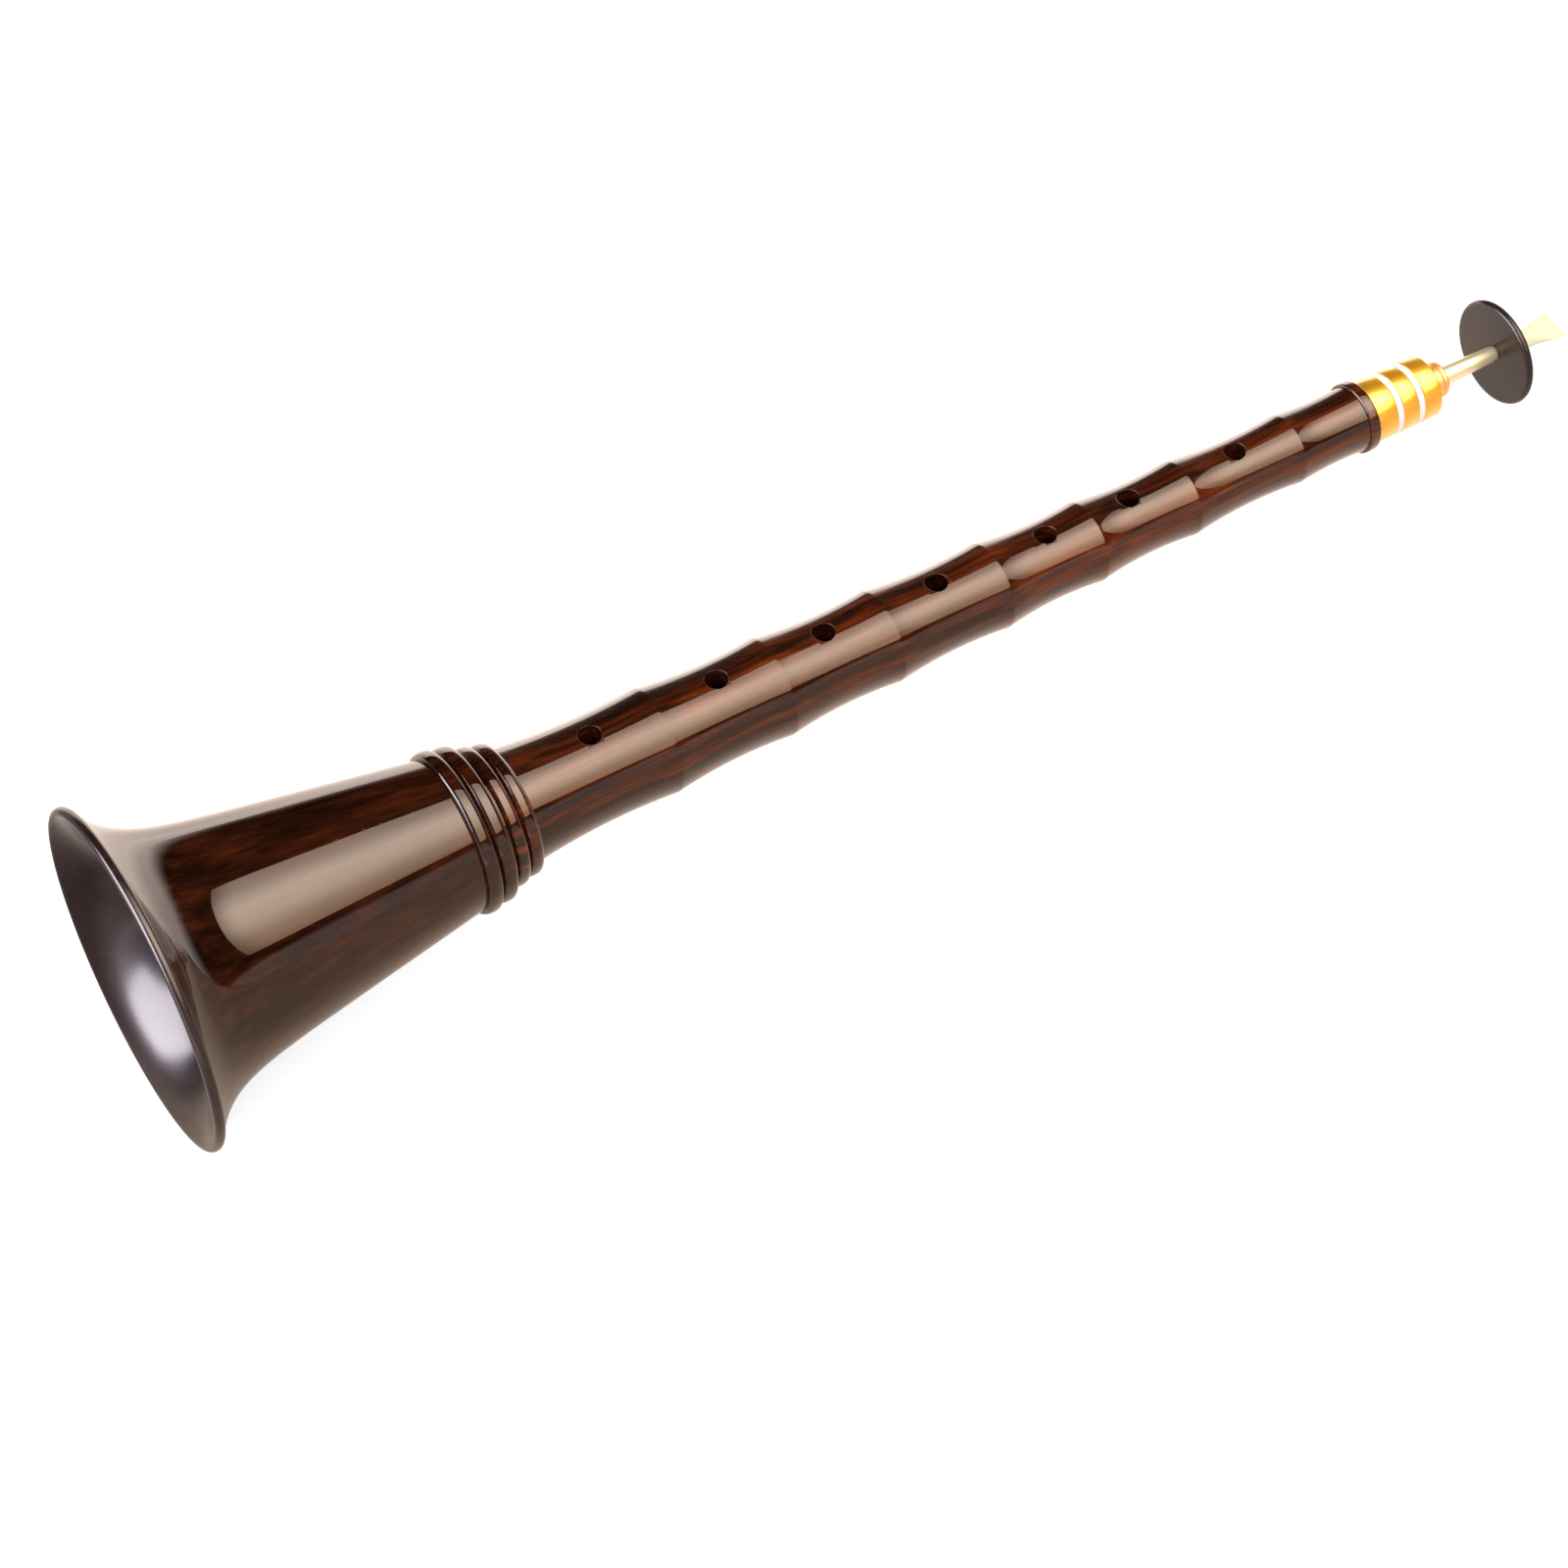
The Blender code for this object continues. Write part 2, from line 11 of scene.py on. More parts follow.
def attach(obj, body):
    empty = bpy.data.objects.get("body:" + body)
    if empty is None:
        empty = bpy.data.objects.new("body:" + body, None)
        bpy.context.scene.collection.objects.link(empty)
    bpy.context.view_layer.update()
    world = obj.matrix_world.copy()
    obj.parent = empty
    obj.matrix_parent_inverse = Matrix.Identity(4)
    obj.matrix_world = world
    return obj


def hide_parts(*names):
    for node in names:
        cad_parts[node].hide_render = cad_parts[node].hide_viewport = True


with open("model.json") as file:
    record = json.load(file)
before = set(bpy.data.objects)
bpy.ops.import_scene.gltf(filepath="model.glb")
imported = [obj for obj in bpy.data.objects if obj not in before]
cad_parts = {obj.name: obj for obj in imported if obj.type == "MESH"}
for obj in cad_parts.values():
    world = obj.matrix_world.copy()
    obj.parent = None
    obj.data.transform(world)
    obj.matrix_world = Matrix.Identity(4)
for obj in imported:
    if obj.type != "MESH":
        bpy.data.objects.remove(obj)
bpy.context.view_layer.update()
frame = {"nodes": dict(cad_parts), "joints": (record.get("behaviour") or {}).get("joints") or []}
scene = bpy.context.scene
bpy.ops.object.select_all(action="DESELECT")

# Where the bore axis lies, read from the frame's joints
joints = {joint["name"]: joint for joint in frame["joints"]}
discStation = 0.4529
boreDirection = Vector(joints["disc_spin"]["axis"]).normalized()
boreStart = Vector(joints["disc_spin"]["pos_m"]) - boreDirection * discStation
boreSide = Vector((0, 1, 0))
boreUp = boreSide.cross(-boreDirection).normalized()
boreMatrix = Matrix.Translation(boreStart) @ Matrix((-boreUp, boreSide, boreDirection)).transposed().to_4x4()


def toLinear(code):
    parts = [int(code[i:i + 2], 16) / 255 for i in (1, 3, 5)]
    return tuple(p / 12.92 if p <= 0.04045 else ((p + 0.055) / 1.055) ** 2.4 for p in parts) + (1.0,)


def addNode(home, kind, sockets=None, **settings):
    # a socket is given a value, or (node, output name) to link it
    node = home.node_tree.nodes.new(kind)
    for key, value in settings.items():
        if key == "stops":
            ramp = node.color_ramp
            while len(ramp.elements) < len(value):
                ramp.elements.new(0.5)
            for element, (place, colour) in zip(ramp.elements, value):
                element.position = place
                element.color = colour
        else:
            setattr(node, key, value)
    for key, value in (sockets or {}).items():
        if isinstance(value, tuple) and isinstance(value[0], bpy.types.Node):
            home.node_tree.links.new(value[0].outputs[value[1]], node.inputs[key])
        else:
            node.inputs[key].default_value = value
    return node


def newMaterial(name):
    material = bpy.data.materials.new(name)
    material.use_nodes = True
    material.node_tree.nodes.clear()
    return material


def finishMaterial(material, shader):
    addNode(material, "ShaderNodeOutputMaterial", {"Surface": (shader, "BSDF")})
    return material


def boreCoordinates(material, stretch=(1, 1, 1)):
    # Object coordinates turned so that z runs along the bore, in metres
    place = addNode(material, "ShaderNodeTexCoord")
    turn = addNode(material, "ShaderNodeMapping", {
        "Vector": (place, "Object"),
        "Location": boreMatrix.to_translation(),
        "Rotation": boreMatrix.to_euler(),
    }, vector_type="TEXTURE")
    return addNode(material, "ShaderNodeMapping", {"Vector": (turn, "Vector"), "Scale": stretch})


# Rosewood under thick polished lacquer: brown-black with long rusty streaks, short dark
# flecks, and a clear wet gloss on top that mirrors the softbox.
bellWood = {
    "dark": "#1C0B05", "brown": "#2B1208", "rust": "#3A180A", "amber": "#4A1F0D",
    "streakWidthMm": 4.5, "streakLengthMm": 90, "fibreWidthMm": 1.8, "fibreLengthMm": 45,
    "patchWidthMm": 18, "patchLengthMm": 60, "fleckWidthMm": 0.5, "fleckLengthMm": 3.5, "fleckShare": 0.2,
    "amberFrom": 0.02, "amberTo": 0.10, "amberShift": 0.02, "fibreShare": 0.4,
    "lacquer": 1.0, "lacquerRoughness": 0.03, "sheen": 0.0, "sheenRoughness": 0.4, "sheenTint": "#FFFFFF",
}
# The pipe is redder, and an amber sheen glows under its lacquer
pipeWood = dict(bellWood, dark="#1C0A05", brown="#2F1107", rust="#4F1E09", amber="#6E2E0F",
                streakWidthMm=3.0, streakLengthMm=60, fibreWidthMm=1.0, fibreLengthMm=30,
                fibreShare=0.3, amberFrom=0.12, amberTo=0.42, amberShift=0.04, sheen=0.08, sheenTint="#FF9A40")
# The same wood where the lathe tool left it satin, inside the bell: smooth, cool and cloudy
boreWood = dict(bellWood, dark="#251416", brown="#2C1819", rust="#331C1C", amber="#3C201E",
                lacquer=1.0, lacquerRoughness=0.24, fibreShare=0.2)
# and in the pipe's holes
holeWood = dict(pipeWood, lacquer=0.4, lacquerRoughness=0.35, sheen=0.0)


def lacqueredRosewood(name, values):
    material = newMaterial(name)
    grain = {}
    for part, detail in (("streak", 2), ("fibre", 1), ("patch", 1), ("fleck", 0)):
        wide, long = values[part + "WidthMm"], values[part + "LengthMm"]
        place = boreCoordinates(material, (1, 1, wide / long))
        grain[part] = addNode(material, "ShaderNodeTexNoise", {
            "Vector": (place, "Vector"), "Scale": 1000 / wide, "Detail": detail, "Roughness": 0.55})
    # the wood warms towards the collar, and in broad patches
    apart = addNode(material, "ShaderNodeSeparateXYZ", {"Vector": (boreCoordinates(material), "Vector")})
    shift = addNode(material, "ShaderNodeMapRange", {
        "Value": (apart, "Z"), "From Min": values["amberFrom"], "From Max": values["amberTo"],
        "To Min": -0.02, "To Max": values["amberShift"]})
    patches = addNode(material, "ShaderNodeMapRange", {
        "Value": (grain["patch"], "Fac"), "From Min": 0.35, "From Max": 0.65, "To Min": -0.04, "To Max": 0.04})
    both = addNode(material, "ShaderNodeMix", {
        "Factor": values["fibreShare"], "A": (grain["streak"], "Fac"), "B": (grain["fibre"], "Fac")},
        data_type="FLOAT")
    warmer = addNode(material, "ShaderNodeMath", {0: (shift, "Result"), 1: (patches, "Result")}, operation="ADD")
    depth = addNode(material, "ShaderNodeMath", {0: (both, "Result"), 1: (warmer, "Value")}, operation="ADD")
    wood = addNode(material, "ShaderNodeValToRGB", {"Fac": (depth, "Value")}, stops=[
        (0.36, toLinear(values["dark"])), (0.48, toLinear(values["brown"])),
        (0.58, toLinear(values["rust"])), (0.70, toLinear(values["amber"]))])
    flecks = addNode(material, "ShaderNodeMapRange", {
        "Value": (grain["fleck"], "Fac"), "From Min": values["fleckShare"] - 0.03, "From Max": values["fleckShare"]})
    fleckShade = addNode(material, "ShaderNodeMapRange", {
        "Value": (flecks, "Result"), "To Min": 0.35, "To Max": 1.0})
    shade = addNode(material, "ShaderNodeMix", {
        "Factor": 1.0, "A": (wood, "Color"), "B": (fleckShade, "Result")}, data_type="RGBA", blend_type="MULTIPLY")
    wave = addNode(material, "ShaderNodeBump", {
        "Height": (grain["patch"], "Fac"), "Strength": 0.2, "Distance": 0.0005})
    pits = addNode(material, "ShaderNodeBump", {
        "Height": (flecks, "Result"), "Normal": (wave, "Normal"), "Strength": 0.07, "Distance": 0.00006})
    shader = addNode(material, "ShaderNodeBsdfPrincipled", {
        "Base Color": (shade, "Result"), "Roughness": values["sheenRoughness"],
        "Specular IOR Level": values["sheen"], "Specular Tint": toLinear(values["sheenTint"]),
        "Normal": (wave, "Normal"), "Coat Normal": (pits, "Normal"),
        "Coat Weight": values["lacquer"], "Coat Roughness": values["lacquerRoughness"]})
    return finishMaterial(material, shader)


def plainFinish(name, values):
    # a colour with a little cloudiness, and marks as fine rings round the bore or lines along it
    material = newMaterial(name)
    place = boreCoordinates(material, values.get("stretch", (0.05, 0.05, 1)))
    marks = addNode(material, "ShaderNodeTexNoise", {
        "Vector": (place, "Vector"), "Scale": 1000 / values["markWidthMm"], "Detail": 3})
    colour = addNode(material, "ShaderNodeValToRGB", {"Fac": (marks, "Fac")},
                     stops=[(0.3, toLinear(values["shade"])), (0.7, toLinear(values["colour"]))])
    relief = addNode(material, "ShaderNodeBump", {
        "Height": (marks, "Fac"), "Strength": values["markStrength"], "Distance": 0.00005})
    shader = addNode(material, "ShaderNodeBsdfPrincipled", {
        "Base Color": (colour, "Color"), "Roughness": values["roughness"], "Metallic": values["metallic"],
        "Normal": (relief, "Normal"), "Coat Weight": values.get("coat", 0.0), "Coat Roughness": 0.15,
        "Coat IOR": values.get("coatIor", 1.5), "Specular IOR Level": values.get("specular", 0.5)})
    return finishMaterial(material, shader)


bellLacquer = lacqueredRosewood("lacquered rosewood of the bell", bellWood)
pipeLacquer = lacqueredRosewood("lacquered rosewood of the pipe", pipeWood)
innerWood = lacqueredRosewood("satin rosewood inside the bell", boreWood)
drilledWood = lacqueredRosewood("satin rosewood in the holes", holeWood)
# Satin gold with fine turning rings, bright and pale where it faces the lamp
gold = plainFinish("gold anodised aluminium", {
    "colour": "#FFBC22", "shade": "#FAB01C", "roughness": 0.33, "metallic": 0.6, "markWidthMm": 0.5,
    "markStrength": 0.08, "coat": 1.0, "coatIor": 1.65})
neckGold = plainFinish("gold plated brass", {
    "colour": "#FFCA84", "shade": "#F6B868", "roughness": 0.42, "metallic": 0.7, "markWidthMm": 0.4,
    "markStrength": 0.1})
nylon = plainFinish("turned white nylon", {
    "colour": "#FFFEF8", "shade": "#FAF8F4", "roughness": 0.5, "metallic": 0.0, "markWidthMm": 0.4,
    "markStrength": 0.1})
paleBrass = plainFinish("polished pale brass", {
    "colour": "#FAF0CC", "shade": "#F2E6BC", "roughness": 0.35, "metallic": 0.6, "markWidthMm": 0.5,
    "markStrength": 0.05})
horn = plainFinish("satin dark horn", {
    "colour": "#302525", "shade": "#2B2121", "roughness": 0.2, "metallic": 0.0, "markWidthMm": 0.8,
    "markStrength": 0.05, "specular": 0.3})
# Pale straw with fibres that run towards the tip
cane = plainFinish("scraped cane", {
    "colour": "#FFFDDA", "shade": "#F8F2BC", "roughness": 0.6, "metallic": 0.0, "markWidthMm": 0.35,
    "stretch": (1, 1, 0.03), "markStrength": 0.3})
cork = plainFinish("waxed cork", {
    "colour": "#B58A55", "shade": "#8A5E34", "roughness": 0.8, "metallic": 0.0, "markWidthMm": 1.0,
    "stretch": (1, 1, 1), "markStrength": 0.5})
rubber = plainFinish("moulded black rubber", {
    "colour": "#1E1E1E", "shade": "#161616", "roughness": 0.6, "metallic": 0.0, "markWidthMm": 1.0,
    "markStrength": 0.1})
copper = plainFinish("bare copper wire", {
    "colour": "#D88858", "shade": "#C07040", "roughness": 0.3, "metallic": 1.0, "markWidthMm": 0.5,
    "markStrength": 0.1})
print("materials made")


def dress(piece, material, body, node):
    if not piece.data.materials:
        piece.data.materials.append(material)
    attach(piece, body)
    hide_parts(node)


def drawOutline(name, outline):
    # one vertex, extruded from point to point and closed on itself
    bpy.ops.mesh.primitive_plane_add(size=0.001)
    piece = bpy.context.object
    piece.name = name
    bpy.ops.object.mode_set(mode="EDIT")
    bpy.ops.mesh.select_all(action="SELECT")
    bpy.ops.mesh.merge(type="CENTER")
    here = Vector()
    for step, (station, radius) in enumerate(outline + outline[:1]):
        there = Vector((radius, 0, station))
        if step:
            bpy.ops.mesh.extrude_region_move(TRANSFORM_OT_translate={"value": there - here})
        else:
            bpy.ops.transform.translate(value=there)
        here = there
    return piece


def turned(name, outline, sides=192, sharpDegrees=32):
    # the outline spun round the bore axis, still upright on the lathe
    piece = drawOutline(name, outline)
    bpy.ops.mesh.select_all(action="SELECT")
    bpy.ops.mesh.spin(steps=sides, angle=math.tau, center=(0, 0, 0), axis=(0, 0, 1))
    bpy.ops.mesh.select_all(action="SELECT")
    bpy.ops.mesh.remove_doubles(threshold=0.000002)
    bpy.ops.mesh.normals_make_consistent(inside=False)
    bpy.ops.object.mode_set(mode="OBJECT")
    bpy.ops.object.shade_smooth_by_angle(angle=math.radians(sharpDegrees))
    return piece


def applyBoolean(piece, tool, operation):
    cut = piece.modifiers.new("cut", "BOOLEAN")
    cut.object = tool
    cut.operation = operation
    bpy.ops.object.select_all(action="DESELECT")
    bpy.context.view_layer.objects.active = piece
    piece.select_set(True)
    bpy.ops.object.modifier_apply(modifier=cut.name)
    bpy.data.objects.remove(tool)


def layDown(piece):
    # from the lathe to its place on the leaning bore axis, kept in the mesh
    bpy.ops.object.select_all(action="DESELECT")
    piece.select_set(True)
    bpy.context.view_layer.objects.active = piece
    piece.matrix_world = boreMatrix
    bpy.ops.object.transform_apply(location=True, rotation=True, scale=True)
    bpy.ops.object.select_all(action="DESELECT")
    return piece


def roundedRing(start, end, radius, rounding, steps=6):
    quarter = [math.radians(90 * i / steps) for i in range(steps + 1)]
    rise = [(start + rounding * (1 - math.cos(a)), radius - rounding * (1 - math.sin(a))) for a in quarter]
    fall = [(end - rounding * (1 - math.cos(a)), radius - rounding * (1 - math.sin(a))) for a in quarter[::-1]]
    return rise + fall


def bead(start, end, radius, height, fullness=2.4, steps=10):
    # a full round moulding: half of a squarish ellipse
    middle, half = (start + end) / 2, (end - start) / 2
    points = []
    for step in range(2 * steps + 1):
        turn = math.pi * step / (2 * steps)
        along, rise = math.cos(turn), math.sin(turn)
        points.append((middle - math.copysign(half * abs(along) ** (2 / fullness), along),
                       radius - height * (1 - max(rise, 0) ** (2 / fullness))))
    return points


def ringGroup(start, radii, width, grooveWidth, height):
    points = []
    for radius in radii:
        points += bead(start, start + width, radius, height)
        start += width + grooveWidth
    return points


# Bell: a cone with an exponential flare, a rounded lip and two turned rings at its socket
bell = {
    "length": 0.1042, "rimRadius": 0.0498, "lipWidth": 0.003, "lipProud": 0.0014,
    "mouthRadius": 0.0477, "mouthRound": 0.0004, "coneRadius": 0.0379, "coneTaper": 0.1641, "flareReach": 0.0076,
    "boreTaper": 0.290, "boreFoot": 0.0095, "tenonLength": 0.024, "socketRadius": 0.0137,
    "ringRadii": (0.0240, 0.0230), "ringWidth": 0.0043, "grooveWidth": 0.0008, "ringHeight": 0.0012,
}


def makeBell(values):
    cone, taper, reach = values["coneRadius"], values["coneTaper"], values["flareReach"]
    lip, length = values["lipWidth"], values["length"]
    flare = values["rimRadius"] - values["lipProud"] - (cone - taper * lip)
    rings = len(values["ringRadii"])
    ringsAt = length - rings * values["ringWidth"] - (rings - 1) * values["grooveWidth"]
    outline = bead(0, lip, values["rimRadius"], values["lipProud"], 2.1)
    steps = 60
    for step in range(1, steps + 1):
        station = lip + (ringsAt - lip) * (step / steps) ** 1.6
        outline.append((station, cone - taper * station + flare * math.exp((lip - station) / reach)))
    outline += ringGroup(ringsAt, values["ringRadii"], values["ringWidth"], values["grooveWidth"],
                         values["ringHeight"])
    floor = length - values["tenonLength"]
    outline += [(length, values["socketRadius"]), (floor, values["socketRadius"])]
    mouth, edge = values["mouthRadius"], values["mouthRound"]
    boreFlare = mouth - values["boreFoot"] - values["boreTaper"] * floor

    def boreRadius(station):
        straight = values["boreFoot"] + values["boreTaper"] * (floor - station)
        return straight + boreFlare * math.exp(-station / reach)

    for step in range(steps, -1, -1):
        station = edge + (floor - edge) * (step / steps) ** 1.6
        outline.append((station, boreRadius(station)))
    for step in range(1, 6):
        # eases the edge between the bore and the flat face of the mouth
        share = step / 5
        outline.append((edge * (1 - share) ** 2, boreRadius(edge) * (1 - share) ** 2
                        + mouth * 2 * share * (1 - share) + (mouth + edge) * share ** 2))
    piece = turned("bell_turned", outline, sides=256)
    piece.data.materials.append(bellLacquer)
    piece.data.materials.append(innerWood)
    for face in piece.data.polygons:
        outward = face.center.x * face.normal.x + face.center.y * face.normal.y
        satin = outward < 0 and face.center.z < floor
        face.material_index = int(satin or face.center.z < lip * 0.98)
    return layDown(piece)


bellPiece = makeBell(bell)
dress(bellPiece, bellLacquer, "bell", "bell")
print("bell turned")

# Pipe: foot rings, seven scallops that meet in creases, eased finger holes, and a small
# lip at the collar
pipe = {
    "at": 0.1045, "length": 0.2981, "footRadius": 0.0168, "topRadius": 0.0102,
    "boreFoot": 0.0095, "boreTop": 0.0036, "tenonLength": 0.024, "tenonRadius": 0.0129,
    "corkSeatRadius": 0.0117, "corkSetback": 0.005, "corkLength": 0.014,
    "ringRadii": (0.02065, 0.01965), "ringWidth": 0.0038, "ringCove": 0.0009,
    "recessRadius": 0.0190, "recessWidth": 0.0010, "lipRadius": 0.0111, "lipWidth": 0.0034, "lipRound": 0.0006,
    "scallopDepth": 0.0012, "topScallopDepth": 0.0006, "topCrease": 0.0194,
    "fingerHoles": (0.0349, 0.0750, 0.1099, 0.1474, 0.1845, 0.2135, 0.2513), "fingerRadius": 0.0033,
    "thumbHole": 0.2365, "thumbRadius": 0.0030, "holeRound": 0.0005, "seatRadius": 0.0075, "seatDepth": 0.022,
    "grooveWidth": 0.0008, "ringHeight": 0.0012,
}


def makeHoleCutter(radius, surface, rounding, station, side):
    # a drill whose shoulder flares to ease the edge, and follows the pipe's round surface
    bpy.ops.object.select_all(action="DESELECT")
    bpy.ops.mesh.primitive_circle_add(vertices=64, radius=radius, fill_type="NGON")
    tool = bpy.context.object
    bpy.ops.object.mode_set(mode="EDIT")
    bpy.ops.mesh.select_all(action="SELECT")
    profile = [(surface - rounding, radius)]
    for degrees in (15, 30, 45, 60, 72):
        turn = math.radians(degrees)
        profile.append((surface - rounding * (1 - math.sin(turn)), radius + rounding * (1 - math.cos(turn))))
    profile.append((surface + 0.0003, profile[-1][1] + 0.0010))
    profile.append((surface + 0.004, profile[-1][1]))
    height, wide = 0.0, radius
    for there, wider in profile:
        bpy.ops.mesh.extrude_region_move(TRANSFORM_OT_translate={"value": (0, 0, there - height)})
        bpy.ops.transform.resize(value=(wider / wide, wider / wide, 1))
        height, wide = there, wider
    bpy.ops.object.mode_set(mode="OBJECT")
    for vertex in tool.data.vertices:
        if surface / 2 < vertex.co.z < surface + 0.001:
            vertex.co.z -= surface - math.sqrt(surface ** 2 - vertex.co.y ** 2)
    bpy.ops.object.mode_set(mode="EDIT")
    bpy.ops.mesh.select_all(action="SELECT")
    bpy.ops.mesh.normals_make_consistent(inside=False)
    bpy.ops.object.mode_set(mode="OBJECT")
    tool.rotation_euler = (0, side * math.pi / 2, 0)
    tool.location = (0, 0, station)
    bpy.context.view_layer.update()
    return tool


def makePipe(values):
    at, end = values["at"], values["at"] + values["length"]
    tenonEnd = at - values["tenonLength"]
    corkLow = tenonEnd + values["corkSetback"]
    corkHigh = corkLow + values["corkLength"]
    ringsAt = at + values["recessWidth"]
    rings = len(values["ringRadii"])
    foot = ringsAt + rings * values["ringWidth"] + (rings - 1) * values["grooveWidth"]
    lip = end - values["lipWidth"]
    outline = [(tenonEnd, values["tenonRadius"]), (corkLow, values["tenonRadius"]),
               (corkLow, values["corkSeatRadius"]), (corkHigh, values["corkSeatRadius"]),
               (corkHigh, values["tenonRadius"]), (at, values["tenonRadius"]),
               (at, values["recessRadius"]), (ringsAt, values["recessRadius"])]
    outline += ringGroup(ringsAt, values["ringRadii"], values["ringWidth"], values["grooveWidth"],
                         values["ringHeight"])
    outline.append((foot, values["footRadius"] + values["ringCove"]))
    start = foot + values["ringCove"]
    holes = values["fingerHoles"]
    creases = [at + (a + b) / 2 for a, b in zip(holes, holes[1:])] + [at + holes[-1] + values["topCrease"]]
    knots = [start] + creases + [lip]

    def coneRadius(station):
        taper = (station - start) / (lip - start)
        return values["footRadius"] + (values["topRadius"] - values["footRadius"]) * taper

    steps = 14
    for a, b in zip(knots, knots[1:]):
        depth = values["topScallopDepth"] if b == lip else values["scallopDepth"]
        for step in range(steps):
            # closer together at the creases, which stay crisp
            share = 0.5 - 0.5 * math.cos(math.pi * step / steps)
            station = a + (b - a) * share
            outline.append((station, coneRadius(station) - depth * 4 * share * (1 - share)))
    outline.append((lip, values["topRadius"]))
    outline += roundedRing(lip, end, values["lipRadius"], values["lipRound"])
    outline += [(end, values["seatRadius"]), (end - values["seatDepth"], values["seatRadius"]),
                (end - values["seatDepth"], values["boreTop"]), (tenonEnd, values["boreFoot"])]
    piece = turned("pipe_turned", outline, sides=224)
    drilled = [(hole, values["fingerRadius"], -1) for hole in holes] + [(values["thumbHole"], values["thumbRadius"], 1)]
    for hole, radius, side in drilled:
        surface = coneRadius(at + hole) - values["scallopDepth"] * 0.9
        tool = makeHoleCutter(radius, surface, values["holeRound"], at + hole, side)
        applyBoolean(piece, tool, "DIFFERENCE")
    bpy.ops.object.shade_smooth_by_angle(angle=math.radians(32))
    # the walls of the holes are left satin too
    piece.data.materials.append(pipeLacquer)
    piece.data.materials.append(drilledWood)
    for face in piece.data.polygons:
        for hole, radius, side in drilled:
            reach = math.hypot(face.center.y, face.center.z - at - hole)
            if side * face.center.x > 0 and reach < radius + values["holeRound"] * 0.9:
                face.material_index = 1
    return layDown(piece)


pipePiece = makePipe(pipe)
dress(pipePiece, pipeLacquer, "pipe", "pipe")
print("pipe turned and drilled")

# Cork on the tenon, with eased edges
corkLapping = {"from": 0.0858, "to": 0.0992, "radius": 0.0134, "bore": 0.0120, "edge": 0.0005}


def makeCork(values):
    outline = roundedRing(values["from"], values["to"], values["radius"], values["edge"], 4)
    return layDown(turned("cork_turned", outline + [(values["to"], values["bore"]), (values["from"], values["bore"])]))


dress(makeCork(corkLapping), cork, "pipe", "tenon_cork")

# Socket sleeve: the first gold band, and its liner with two windows for the ears of the core
sleeve = {
    "band": (0.4027, 0.4100), "radius": 0.0098, "edge": 0.0003, "liner": (0.3809, 0.4244), "linerRadius": 0.0072,
    "bore": 0.0060, "recessFloor": 0.4059, "recessRadius": 0.0087,
    "window": (0.4087, 0.4223), "windowWidth": 0.0036, "windowReach": 0.0150,
}


def block(size, place, edge=0.0):
    bpy.ops.object.select_all(action="DESELECT")
    bpy.ops.mesh.primitive_cube_add(size=1)
    tool = bpy.context.object
    bpy.ops.object.mode_set(mode="EDIT")
    bpy.ops.mesh.select_all(action="SELECT")
    bpy.ops.transform.resize(value=size)
    bpy.ops.transform.translate(value=place)
    if edge:
        bpy.ops.mesh.bevel(offset=edge, segments=2)
    bpy.ops.object.mode_set(mode="OBJECT")
    return tool


def makeSleeve(values):
    (low, high), (start, end) = values["liner"], values["band"]
    floor, recess = values["recessFloor"], values["recessRadius"]
    outline = [(low, values["linerRadius"]), (start, values["linerRadius"])]
    outline += roundedRing(start, end, values["radius"], values["edge"], 4)
    outline += [(end, recess), (floor, recess), (floor, values["linerRadius"]), (high, values["linerRadius"]),
                (high, values["bore"]), (low, values["bore"])]
    piece = turned("sleeve_turned", outline, 128)
    first, last = values["window"]
    size = (values["windowWidth"], values["windowReach"], last - first)
    applyBoolean(piece, block(size, (0, 0, (first + last) / 2)), "DIFFERENCE")
    return layDown(piece)


dress(makeSleeve(sleeve), gold, "pipe", "socket_sleeve")

# White washers between the gold bands
washers = {"lower_washer": (0.4101, 0.4121), "upper_washer": (0.4179, 0.4199), "radius": 0.0098, "bore": 0.0087,
           "edge": 0.0003}


def makeWasher(node, values):
    low, high = values[node]
    outline = roundedRing(low, high, values["radius"], values["edge"], 4) + [(high, values["bore"]), (low, values["bore"])]
    return layDown(turned(node + "_turned", outline, 128))


for washerNode in ("lower_washer", "upper_washer"):
    dress(makeWasher(washerNode, washers), nylon, "pipe", washerNode)

# Tuning ring: the gold band that turns, on a thin spool
tuningRing = {"band": (0.4122, 0.4178), "radius": 0.0098, "edge": 0.0003, "spool": (0.4062, 0.4244),
              "spoolRadius": 0.0084, "bore": 0.0075}


def makeTuningRing(values):
    (low, high), (start, end) = values["spool"], values["band"]
    outline = [(low, values["spoolRadius"]), (start, values["spoolRadius"])]
    outline += roundedRing(start, end, values["radius"], values["edge"], 4)
    outline += [(end, values["spoolRadius"]), (high, values["spoolRadius"]), (high, values["bore"]), (low, values["bore"])]
    return layDown(turned("tuning_ring_turned", outline, 128))


dress(makeTuningRing(tuningRing), gold, "tuning_ring", "tuning_ring")

# End cap: the last gold band, with a floor that the core's stem passes through
endCap = {"from": 0.4200, "to": 0.4263, "radius": 0.0098, "edge": 0.0005, "hole": 0.0054, "floor": 0.4247,
          "recessRadius": 0.0087}


def makeEndCap(values):
    start, end = values["from"], values["to"]
    outline = roundedRing(start, end, values["radius"], values["edge"], 5)
    outline += [(end, values["hole"] + 0.0002), (end - 0.0002, values["hole"]), (values["floor"], values["hole"]),
                (values["floor"], values["recessRadius"]), (start, values["recessRadius"])]
    return layDown(turned("end_cap_turned", outline, 128))


dress(makeEndCap(endCap), gold, "pipe", "end_cap")
print("collar turned")

